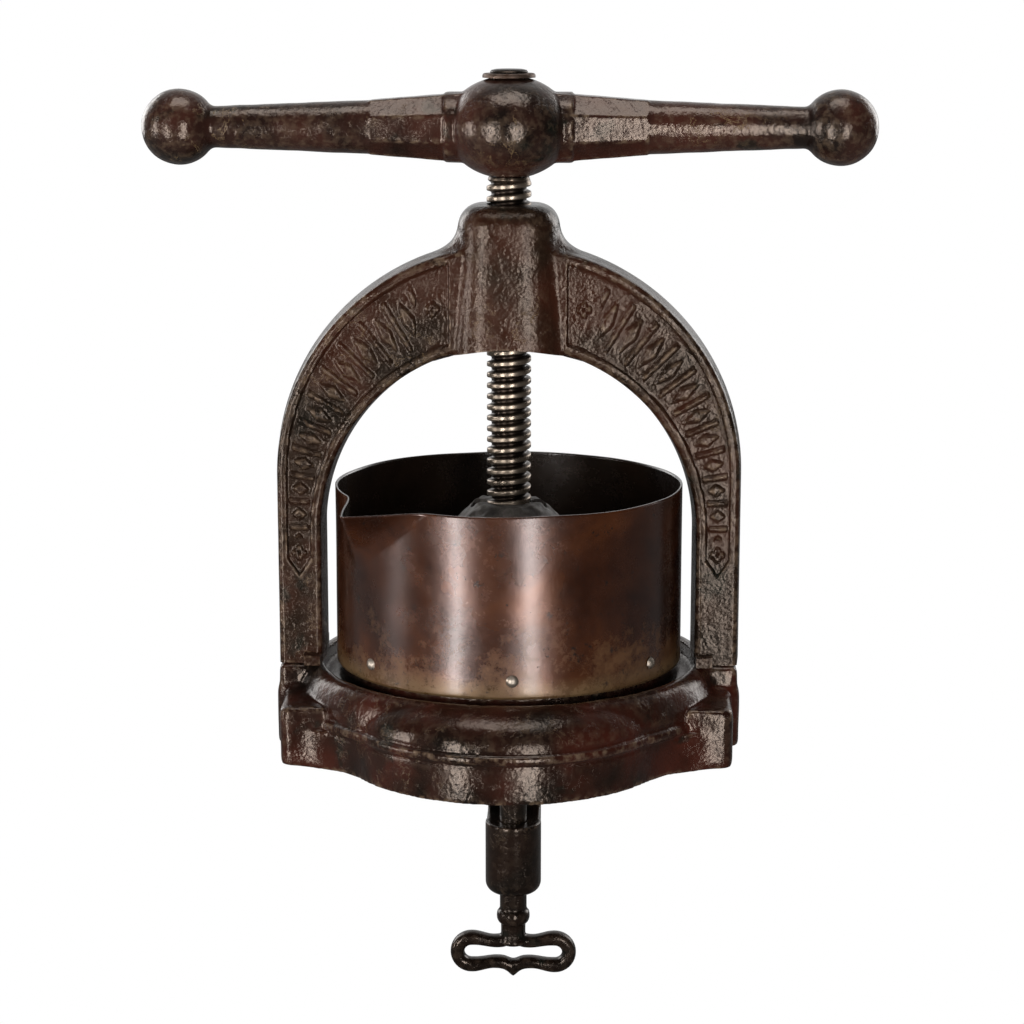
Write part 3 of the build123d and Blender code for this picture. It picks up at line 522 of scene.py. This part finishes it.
def sheet_metal(name, shade_all_as_inside=False):
    """Tinned sheet under a copper-brown patina, rusty low down, with its inside painted near black as shade.
    """
    material, shader = new_material(name)
    place = object_place(material)
    broad = noise_node(material, place, 26, detail=4, rough=0.6, warp=0.3)
    brown = ramp(material, broad, "Fac", (0.34, (0.020, 0.006, 0.003)), (0.50, (0.050, 0.015, 0.006)),
                 (0.66, (0.100, 0.030, 0.009)))
    split = add_node(material, "ShaderNodeSeparateXYZ", i0=(place, "Vector"))
    rust = noise_node(material, place, 62, detail=12, rough=0.80)
    low = add_node(material, "ShaderNodeMapRange", i0=(split, "Z"), i1=0.028, i2=0.058, i3=0.72, i4=0.0)
    rust_level = mathed(material, "MULTIPLY_ADD", (rust, "Fac"), 3.2)
    rust_level.inputs[2].default_value = -1.55
    rust_sum = mathed(material, "ADD", (low, 0), (rust_level, "Value"))
    rust_mask = ramp(material, rust_sum, "Value", (0.45, 0.0), (0.85, 0.8))
    base = mix_colour(material, (rust_mask, "Color"), (brown, "Color"), (0.135, 0.062, 0.024))
    # A golden-tan band along the bottom edge: the sheet's colour there, and partly a painted highlight.
    bottom_gold_and_glint_fade = add_node(material, "ShaderNodeMapRange", i0=(split, "Z"), i1=0.028, i2=0.0345, i3=0.8, i4=0.0)
    gold_noise = noise_node(material, place, 130, detail=4)
    gold_and_glint = mathed(material, "MULTIPLY", (bottom_gold_and_glint_fade, 0), (gold_noise, "Fac"))
    base = mix_colour(material, (gold_and_glint, "Value"), (base, 2), (0.28, 0.19, 0.09))
    speck = noise_node(material, place, 330, detail=3, rough=0.7)
    speck_mask = ramp(material, speck, "Fac", (0.62, 0.0), (0.70, 0.85))
    base = mix_colour(material, (speck_mask, "Color"), (base, 2), (0.016, 0.010, 0.008))
    # Inward faces, and every face when all of a piece counts as inside, get a near-black colour: painted
    # shade.
    inner = add_node(material, "ShaderNodeAttribute", {"attribute_name": "inside"})
    inside_shade_share = mathed(material, "MAXIMUM", (inner, "Fac"), 1.0 if shade_all_as_inside else 0.0)
    inside_shade_patch = ramp(material, broad, "Fac", (0.35, (0.010, 0.006, 0.004)), (0.65, (0.030, 0.017, 0.010)))
    base = mix_colour(material, (inside_shade_share, "Value"), (base, 2), (inside_shade_patch, "Color"))
    link(material, base, 2, shader, "Base Color")
    dull = ramp(material, rust, "Fac", (0.3, 0.16), (0.75, 0.36))
    rusty = mathed(material, "MULTIPLY_ADD", (rust_mask, "Color"), 0.18)
    link(material, dull, "Color", rusty, 2)
    link(material, rusty, "Value", shader, "Roughness")
    shader.inputs["Metallic"].default_value = 0.35
    shader.inputs["Coat Weight"].default_value = 0.45
    shader.inputs["Coat Roughness"].default_value = 0.2
    dents = noise_node(material, place, 34, detail=2)
    pits = noise_node(material, place, 620, detail=6, rough=0.7)
    soft = add_node(material, "ShaderNodeBump", Height=(dents, "Fac"), Strength=0.35, Distance=0.0016)
    fine = add_node(material, "ShaderNodeBump", Height=(pits, "Fac"), Strength=0.30, Distance=0.00022,
                    Normal=(soft, "Normal"))
    link(material, fine, "Normal", shader, "Normal")
    return material


drum_sheet_metal = sheet_metal("drum_sheet_metal")
drum.data.materials.append(drum_sheet_metal)
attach(drum, "drum")
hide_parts("drum_shell")

# ---- Drum bottom, strainer and rivets ----
# The flanged bottom and the perforated basket are the same sheet, painted as dark as the drum's inside as
# shade.
# The rivets are soft iron, rubbed bright on their heads.


def finish_nodes(material, *nodes):
    """Gives pieces that are used as they are their own finish."""
    for node in nodes:
        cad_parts[node].data.materials.clear()
        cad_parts[node].data.materials.append(material)


# Painted near black all over as shade, like the drum's inside.
shaded_inside_sheet = sheet_metal("shaded_inside_sheet", shade_all_as_inside=True)
finish_nodes(shaded_inside_sheet, "drum_bottom", "strainer_floor", "strainer_wall", "strainer_ring", "strainer_feet")


def dull_steel(name, dark, light, rough=0.34, seed=0.0, pits=0.5):
    """Bare steel that has browned: streaky light and dark with fine pitting."""
    material, shader = new_material(name)
    place = object_place(material, shift=(seed, 0, seed))
    broad = noise_node(material, place, 120, detail=5, rough=0.6)
    colour = ramp(material, broad, "Fac", (0.35, dark), (0.62, light))
    stain = noise_node(material, place, 300, detail=4)
    stain_mask = ramp(material, stain, "Fac", (0.56, 0.0), (0.66, 0.7))
    base = mix_colour(material, (stain_mask, "Color"), (colour, "Color"), (0.05, 0.026, 0.015))
    link(material, base, 2, shader, "Base Color")
    dull = ramp(material, stain, "Fac", (0.3, rough), (0.7, rough + 0.22))
    link(material, dull, "Color", shader, "Roughness")
    shader.inputs["Metallic"].default_value = 0.9
    pit = noise_node(material, place, 1400, detail=4)
    bump = add_node(material, "ShaderNodeBump", Height=(pit, "Fac"), Strength=pits, Distance=0.00015)
    link(material, bump, "Normal", shader, "Normal")
    return material


rivet_steel = dull_steel("rivet_steel", (0.16, 0.12, 0.09), (0.42, 0.36, 0.30), seed=1.7)
finish_nodes(rivet_steel, "drum_rivets")

# ---- Press screw ----
# Square-ish single-start thread, bright on the crests, with the roots painted near black as shade. Its
# squared top end goes through the handle and is peened over the washer.
pitch, crest, root = 3.6, 7.3, 5.75
thread_low, thread_high = 66.2, 187.0
turn_rows = 14
thread_rows = int((thread_high - thread_low) / pitch * turn_rows) + turn_rows
lower = [(0, 55.0), (6.2, 55.0), (7.2, 56.2), (7.3, 57.5), (7.3, 61.0), (5.0, 61.05), (5.0, 65.5),
         (6.9, 65.6)]
upper = [(6.6, 187.7), (4.7, 187.72), (4.7, 220.85), (5.9, 220.9), (6.15, 221.3), (5.7, 221.9), (4.2, 222.22),
         (2.0, 222.28), (0, 222.3)]
screw_columns = 73
press_screw, u, v = plain_grid("press_screw", screw_columns, len(lower) + thread_rows + len(upper))
around = u / (screw_columns - 1) * 2 * math.pi
step = v - len(lower)
phase = (step / turn_rows) % 1.0
profile_at = (0, 0.06, 0.40, 0.46, 0.56, 0.64, 0.84, 0.92, 1.0)
profile = (crest - 0.22, crest, crest, crest - 0.22, root + 0.25, root, root, root + 0.25, crest - 0.22)
radius = np.interp(phase, profile_at, profile)
z = thread_low + step * pitch / turn_rows + (around / (2 * math.pi) - 1) * pitch
run_out, plain_radius = 1.5, 6.9
fade = (smooth_step(thread_low, thread_low + run_out, z)
        * (1 - smooth_step(thread_high - run_out, thread_high, z)))
radius = plain_radius + (radius - plain_radius) * fade
z = np.clip(z, thread_low, thread_high)
for number, (ring_radius, ring_z) in enumerate(lower):
    radius[v == number], z[v == number] = ring_radius, ring_z
for number, (ring_radius, ring_z) in enumerate(upper):
    ring = v == len(lower) + thread_rows + number
    radius[ring], z[ring] = ring_radius, ring_z
radius = np.minimum(radius, crest)
set_places(press_screw, np.column_stack([radius * np.cos(around), radius * np.sin(around), z]))
close_up(press_screw, 0.003)
bpy.ops.object.shade_smooth_by_angle(angle=math.radians(60))


def screw_steel_finish(name, axis=(0, 0), root_radius=5.75, crest_radius=7.3):
    """Bright bronze-tinted crests over roots painted near black as shade, by distance from the screw's axis.
    """
    material, shader = new_material(name)
    place = object_place(material)
    centred = object_place(material, shift=(-axis[0], -axis[1], 0), scale=(1, 1, 0))
    radial = add_node(material, "ShaderNodeVectorMath", {"operation": "LENGTH"}, i0=(centred, "Vector"))
    share = add_node(material, "ShaderNodeMapRange", i0=(radial, "Value"), i1=root_radius * MM,
                     i2=crest_radius * MM, i3=0.0, i4=1.0)
    streak = noise_node(material, place, 240, detail=5, rough=0.65)
    worn = mathed(material, "MULTIPLY_ADD", (streak, "Fac"), 0.5)
    worn.inputs[2].default_value = -0.25
    level = mathed(material, "ADD", (share, 0), (worn, "Value"))
    # The ramp darkens towards the thread's roots: painted shade.
    colour = ramp(material, level, "Value", (0.05, (0.020, 0.013, 0.009)), (0.66, (0.085, 0.062, 0.045)),
                  (1.0, (0.27, 0.215, 0.165)))
    link(material, colour, "Color", shader, "Base Color")
    rough = ramp(material, streak, "Fac", (0.3, 0.22), (0.75, 0.44))
    link(material, rough, "Color", shader, "Roughness")
    shader.inputs["Metallic"].default_value = 0.85
    bump = add_node(material, "ShaderNodeBump", Height=(streak, "Fac"), Strength=0.35, Distance=0.0003)
    link(material, bump, "Normal", shader, "Normal")
    return material


press_screw_steel = screw_steel_finish("press_screw_steel")
press_screw.data.materials.append(press_screw_steel)
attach(press_screw, "spindle")
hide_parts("press_screw")

# ---- T-handle and washer ----
# Cast hub with two arms, eight-sided by the hub and round towards the ball ends, held on the
# screw's squared end by a washer. The japan is worn thin on top where hands push it round, and
# its edges are painted lighter as wear and as a painted highlight.
handle = cast_from("t_handle", "handle", 0.5, 5)
roughen(handle, 0.12, 6.0, 11)
mark_edges(handle, full=0.22, reach=2)
handle_japan = japanned_iron("handle_japan", (0.008, 0.005, 0.004), (0.026, 0.011, 0.008),
                             (0.045, 0.015, 0.010), grain=0.7, gloss=0.03, seed=7.7, flakes=0.8, shine=0.45)
handle.data.materials.append(handle_japan)
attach(handle, "spindle")
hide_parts("t_handle")
washer_steel = dull_steel("washer_steel", (0.06, 0.04, 0.03), (0.16, 0.11, 0.085), rough=0.4, seed=4.2,
                          pits=0.8)
finish_nodes(washer_steel, "handle_washer")

# ---- Follower ----
# A rough bare casting, cone-shaped round the screw's end, riveted to a round pressing plate. It
# has never been japanned and is pitted and grey.
follower = cast_from("follower_casting", "follower", 0.6, 4)
roughen(follower, 0.55, 3.0, 2, keep=lambda p: np.clip((p[:, 2] - 52) / 6, 0, 1)
        * np.clip((np.hypot(p[:, 0], p[:, 1]) - 8.2) / 1.5, 0, 1))
grey_casting, grey_shader = new_material("grey_casting")
spot = object_place(grey_casting)
rough_patch = noise_node(grey_casting, spot, 160, detail=6, rough=0.68)
grey_colour = ramp(grey_casting, rough_patch, "Fac", (0.32, (0.018, 0.014, 0.011)),
                   (0.5, (0.060, 0.050, 0.042)), (0.68, (0.16, 0.145, 0.13)))
link(grey_casting, grey_colour, "Color", grey_shader, "Base Color")
grey_rough = ramp(grey_casting, rough_patch, "Fac", (0.3, 0.42), (0.7, 0.7))
link(grey_casting, grey_rough, "Color", grey_shader, "Roughness")
grey_shader.inputs["Metallic"].default_value = 0.45
grey_bump = add_node(grey_casting, "ShaderNodeBump", Height=(rough_patch, "Fac"), Strength=0.9,
                     Distance=0.0007)
link(grey_casting, grey_bump, "Normal", grey_shader, "Normal")
follower.data.materials.append(grey_casting)
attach(follower, "follower")
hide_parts("follower_casting")
plate_steel = dull_steel("plate_steel", (0.05, 0.04, 0.034), (0.16, 0.14, 0.12), rough=0.4, seed=9.1)
finish_nodes(plate_steel, "follower_plate", "follower_rivets", "follower_keeper", "keeper_pin",
             "thrust_button")

# ---- Bench clamp ----
# A black japanned bracket behind the base with a boss under its jaw, and the thumbscrew with a
# collar and a flat looped handle, cast in one.
black_japan = japanned_iron("black_japan", (0.003, 0.0025, 0.002), (0.006, 0.004, 0.003),
                            (0.012, 0.006, 0.004), grain=0.45, gloss=0.05, seed=12.4, flakes=0.12, shine=0.3,
                            worn=(0.05, 0.034, 0.024))
bracket = cast_from("clamp_bracket", "bracket", 0.5, 5)
mark_edges(bracket, full=0.25, reach=2)
bracket.data.materials.append(black_japan)
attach(bracket, "frame")
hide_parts("clamp_bracket")
finish_nodes(washer_steel, "clamp_bracket_screws", "arch_foot_screws")
finish_nodes(black_japan, "clamp_pad")

loop_level, loop_y = -101.7, 60.0
loop_columns, loop_rows = 241, 29
loop, u, v = plain_grid("thumbscrew", loop_columns, loop_rows)
path = u / (loop_columns - 1) * 4
beat = np.floor(np.clip(path, 0, 3.999)).astype(int)
part = path - beat
bar_end = 15.4


def bar_shape(x, lower_bar):
    """Outer and inner half-heights of the loop's bars at a distance from its middle."""
    away = np.abs(x)
    outer = 6.3 + 1.5 * smooth_step(7, 15, away)
    inner = 1.75 + 1.25 * np.exp(-(x / 2.6) ** 2) + 0.85 * smooth_step(6, 14, away)
    if lower_bar:
        outer = outer + 3.1 * np.exp(-(away / 2.3) ** 1.5)
    else:
        outer = outer + 1.8 * np.exp(-(away / 3.5) ** 2)
    return outer, inner


x_low = -bar_end + 2 * bar_end * part
x_high = bar_end - 2 * bar_end * part
low_outer, low_inner = bar_shape(x_low, True)
high_outer, high_inner = bar_shape(x_high, False)
swing = part * math.pi - math.pi / 2
end_outer, end_inner = 7.8, 2.6
ring_radius, ring_half = (end_outer + end_inner) / 2, (end_outer - end_inner) / 2
centre_x = np.select([beat == 0, beat == 1, beat == 2],
                     [x_low, bar_end + ring_radius * np.cos(swing), x_high],
                     -bar_end - ring_radius * np.cos(swing))
centre_z = np.select([beat == 0, beat == 1, beat == 2],
                     [-(low_outer + low_inner) / 2, ring_radius * np.sin(swing),
                      (high_outer + high_inner) / 2],
                     -ring_radius * np.sin(swing))
half_wide = np.select([beat == 0, beat == 2],
                      [(low_outer - low_inner) / 2, (high_outer - high_inner) / 2], ring_half)
out_x = np.select([beat == 1, beat == 3], [np.cos(swing), -np.cos(swing)], 0.0)
out_z = np.select([beat == 0, beat == 1, beat == 2], [-1.0, np.sin(swing), 1.0], -np.sin(swing))
turn = v / (loop_rows - 1) * 2 * math.pi
squareness, half_thick = 0.8, 3.15
soft = np.sign(np.cos(turn)) * np.abs(np.cos(turn)) ** squareness * half_wide
thick = np.sign(np.sin(turn)) * np.abs(np.sin(turn)) ** squareness * half_thick
set_places(loop, np.column_stack([centre_x + out_x * soft, loop_y + thick,
                                  loop_level + centre_z + out_z * soft]))
close_up(loop, 0.003)
stem_profile = [(0, -98.6), (4.6, -98.4), (5.6, -97.4), (5.1, -96.2), (4.55, -95.0), (4.5, -93.0),
                (4.55, -90.3), (5.4, -89.9), (6.0, -88.6), (6.1, -87.3), (5.9, -86.0), (5.2, -85.1),
                (4.95, -84.6), (4.95, -17.1),
                (3.0, -17.0), (3.0, -13.6), (4.6, -13.55), (4.6, -12.3), (0, -12.24)]
stem_columns = 49
stem, u, v = plain_grid("stem", stem_columns, len(stem_profile))
stem_turn = u / (stem_columns - 1) * 2 * math.pi
stem_radius = np.array([p[0] for p in stem_profile])[v]
stem_z = np.array([p[1] for p in stem_profile])[v]
set_places(stem, np.column_stack([stem_radius * np.cos(stem_turn),
                                  loop_y + stem_radius * np.sin(stem_turn), stem_z]))
close_up(stem, 0.003)
bpy.ops.object.select_all(action="DESELECT")
stem.select_set(True)
loop.select_set(True)
bpy.context.view_layer.objects.active = loop
bpy.ops.object.join()
cast_over(loop, 0.36, 4)
mark_edges(loop, full=0.4, reach=2)
loop.data.materials.append(black_japan)
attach(loop, "thumbscrew")
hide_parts("clamp_screw")

# ---- Floor, light and camera ----
# A pale floor that clears the thumbscrew at its lowest, a white surround behind, two tall soft
# boxes in front, one at the left side, one overhead and two behind.
bpy.ops.object.select_all(action="DESELECT")
thumbscrew_drop, floor_gap = 0.0335, 0.0025
bpy.ops.mesh.primitive_plane_add(size=8, location=(0, 3.6, cad_box[0][2] - thumbscrew_drop - floor_gap))
floor = bpy.context.object
floor.name = "floor"
floor_white, floor_shader = new_material("floor_white")
floor_shader.inputs["Base Color"].default_value = (0.16, 0.16, 0.16, 1)
floor_shader.inputs["Roughness"].default_value = 0.9
seen = add_node(floor_white, "ShaderNodeLightPath")
glow = add_node(floor_white, "ShaderNodeEmission", Color=(1, 1, 1, 1), Strength=1.0)
floor_mix = add_node(floor_white, "ShaderNodeMixShader")
link(floor_white, seen, "Is Camera Ray", floor_mix, 0)
link(floor_white, floor_shader, "BSDF", floor_mix, 1)
link(floor_white, glow, "Emission", floor_mix, 2)
link(floor_white, floor_mix, "Shader", floor_white.node_tree.nodes["Material Output"], "Surface")
floor.data.materials.append(floor_white)

studio = bpy.data.worlds.new("studio")
bpy.context.scene.world = studio
studio.use_nodes = True
sky = studio.node_tree.nodes["Background"]
sky_way = add_node(studio, "ShaderNodeTexCoord")
sky_split = add_node(studio, "ShaderNodeSeparateXYZ", i0=(sky_way, "Generated"))
sky_depth = add_node(studio, "ShaderNodeMapRange", {"interpolation_type": "SMOOTHSTEP"}, i0=(sky_split, "Y"),
                     i1=-0.05, i2=0.9, i3=0.015, i4=0.75)
sky_seen = add_node(studio, "ShaderNodeLightPath")
sky_level = mathed(studio, "MAXIMUM", (sky_depth, 0), (sky_seen, "Is Camera Ray"))
sky.inputs["Color"].default_value = (1, 1, 1, 1)
link(studio, sky_level, "Value", sky, "Strength")


def soft_box(name, place, target, width, height, power):
    """A rectangular area light that faces a point."""
    light = bpy.data.lights.new(name, "AREA")
    light.shape = "RECTANGLE"
    light.size, light.size_y, light.energy = width, height, power
    holder = bpy.data.objects.new(name, light)
    bpy.context.collection.objects.link(holder)
    holder.location = place
    holder.rotation_euler = (Vector(target) - Vector(place)).to_track_quat("-Z", "Y").to_euler()
    return holder


aim = (0, 0, 0.08)
soft_box("left_box", (-0.74, -1.16, -0.02), aim, 0.15, 1.0, 12)
soft_box("right_box", (0.36, -1.33, -0.02), aim, 0.20, 1.0, 12)
soft_box("side_box", (-1.25, -0.35, 0.05), aim, 0.12, 0.9, 7)
soft_box("top_box", (0, -0.10, 1.2), aim, 0.7, 0.5, 5)
for side in (-1, 1):
    soft_box(f"back_box_{side}", (side * 0.95, 1.0, 0.45), aim, 0.7, 0.9, 6)

camera_data = bpy.data.cameras.new("camera")
camera_data.lens = 91.4
camera_data.sensor_width = 36
camera_data.shift_x = 3 / 1024
camera_data.clip_start = 0.05
camera = bpy.data.objects.new("camera", camera_data)
bpy.context.collection.objects.link(camera)
turn, tilt, distance = math.radians(1.5), math.radians(11.7), 0.8667
look = Vector((0, 0, 0.0765))
back = Vector((math.sin(turn) * math.cos(tilt), -math.cos(turn) * math.cos(tilt), math.sin(tilt)))
camera.location = look + back * distance
camera.rotation_euler = back.to_track_quat("Z", "Y").to_euler()
bpy.context.scene.camera = camera
bpy.context.scene.view_settings.view_transform = "Standard"
